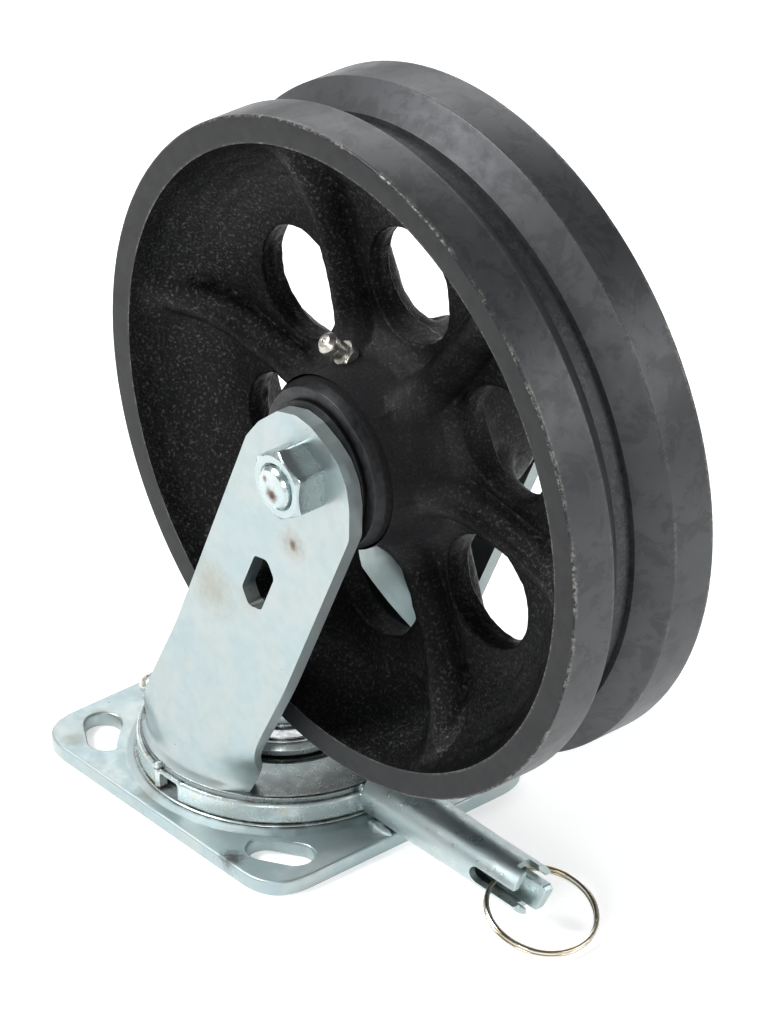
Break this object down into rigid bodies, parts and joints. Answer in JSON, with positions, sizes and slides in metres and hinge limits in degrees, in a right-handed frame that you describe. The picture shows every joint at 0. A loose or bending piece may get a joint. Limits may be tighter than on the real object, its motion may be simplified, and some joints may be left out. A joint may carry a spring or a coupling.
{
  "type": "v-groove swivel caster with swivel lock",
  "caption": "Swivel caster for a track gate: cast V-groove wheel in a pressed fork on a slotted top plate, with a pull-ring swivel lock.",
  "frame": {"origin": "swivel axis at the mounting face of the top plate", "axes": "+Z from the plate to the wheel, +X towards the swivel lock, +Y along the axle"},
  "size_m": [0.2157, 0.1016, 0.2413],
  "materials": {
    "zinc_plated_steel": "satin blue-white zinc plate",
    "bright_steel": "bright oiled steel",
    "black_washer": "blackened steel",
    "cast_iron": "rough sand-cast sides with satin machined tread and rim faces",
    "nickel_plate": "bright nickel plate"
  },
  "bodies": {
    "plate": {"top_plate": "zinc_plated_steel", "lower_race_ring": "bright_steel", "main_race_balls": "bright_steel", "upper_race_balls": "bright_steel", "upper_race_cap": "zinc_plated_steel", "kingpin": "zinc_plated_steel", "kingpin_washer": "bright_steel", "lock_housing": "zinc_plated_steel", "lock_weld_beads": "zinc_plated_steel", "lock_front_bush": "bright_steel", "lock_rear_bush": "bright_steel", "lock_spring": "bright_steel"},
    "plunger": {"lock_plunger": "zinc_plated_steel"},
    "ring": {"pull_ring": "nickel_plate"},
    "fork": {"fork": "zinc_plated_steel", "notched_lock_ring": "zinc_plated_steel", "swivel_grease_fitting": "nickel_plate", "axle_bolt": "zinc_plated_steel", "axle_nut": "zinc_plated_steel", "axle_bushing": "bright_steel", "thrust_washers": "black_washer"},
    "wheel": {"v_groove_wheel": "cast_iron", "roller_cage": "bright_steel", "bearing_rollers": "bright_steel", "hub_retaining_rings": "bright_steel", "hub_grease_fitting": "nickel_plate"}
  },
  "joints": [
    {"name": "swivel", "type": "hinge", "parent": "plate", "child": "fork", "pos_m": [0, 0, 0.0156], "axis": [0, 0, 1], "continuous": true},
    {"name": "wheel_spin", "type": "hinge", "parent": "fork", "child": "wheel", "pos_m": [0.057, 0, 0.1397], "axis": [0, 1, 0], "continuous": true},
    {"name": "lock_plunger", "type": "slide", "parent": "plate", "child": "plunger", "axis": [1, 0, 0], "range_m": [-0.006, 0.009], "deforming": ["lock_spring"]},
    {"name": "ring_swing", "type": "hinge", "parent": "plunger", "child": "ring", "pos_m": [0.1015, 0, 0.0122], "axis": [0, 1, 0], "range_deg": [-48, 12]}
  ]
}
